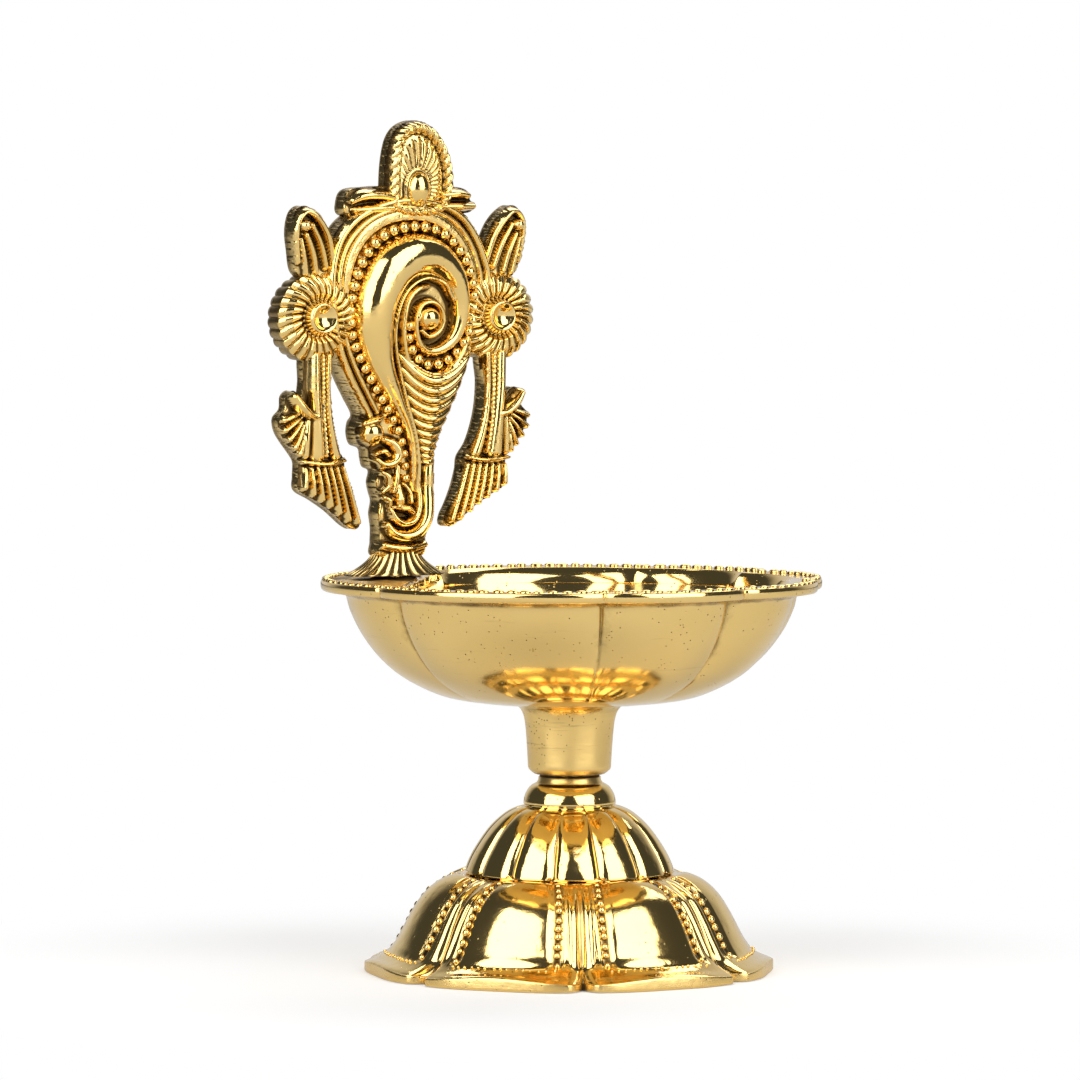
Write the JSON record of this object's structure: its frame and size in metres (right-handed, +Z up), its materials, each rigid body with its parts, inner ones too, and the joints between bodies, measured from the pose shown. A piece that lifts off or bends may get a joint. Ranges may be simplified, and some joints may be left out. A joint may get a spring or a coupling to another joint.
{
  "type": "oil lamp",
  "caption": "Footed brass oil lamp: a lobed bowl with a bordered rim on a short stem and hollow lotus foot, with an upright conch emblem that turns on a ledge at one end of the bowl.",
  "frame": {"origin": "on the floor, under the middle of the whole lamp's bounding box; the stem's axis stands 3.8 mm from it along +X", "axes": "+Z up; +X along the bowl's axis of symmetry, from the emblem's ledge towards the free end of the bowl; +Y to the left of someone who looks along +X"},
  "size_m": [0.0962, 0.0884, 0.1501],
  "materials": {
    "polished_brass": "bright polished cast brass, darker in its recesses",
    "brushed_brass": "satin turned and brushed cast brass with small pits",
    "hardware_brass": "dull machined brass"
  },
  "bodies": {
    "foot": {"lotus_foot": "polished_brass"},
    "bowl_and_stem": {"bowl": "brushed_brass", "stem_stud": "hardware_brass", "stud_washer": "hardware_brass", "stud_nut": "hardware_brass"},
    "emblem": {"conch_emblem": "polished_brass", "emblem_screw": "hardware_brass"}
  },
  "joints": [
    {"name": "bowl_turn", "type": "hinge", "parent": "foot", "child": "bowl_and_stem", "pos_m": [0.00382, 0, 0.0346], "axis": [0, 0, 1], "continuous": true},
    {"name": "emblem_swivel", "type": "hinge", "parent": "bowl_and_stem", "child": "emblem", "pos_m": [-0.02718, 0, 0.0695], "axis": [0, 0, 1], "continuous": true}
  ]
}
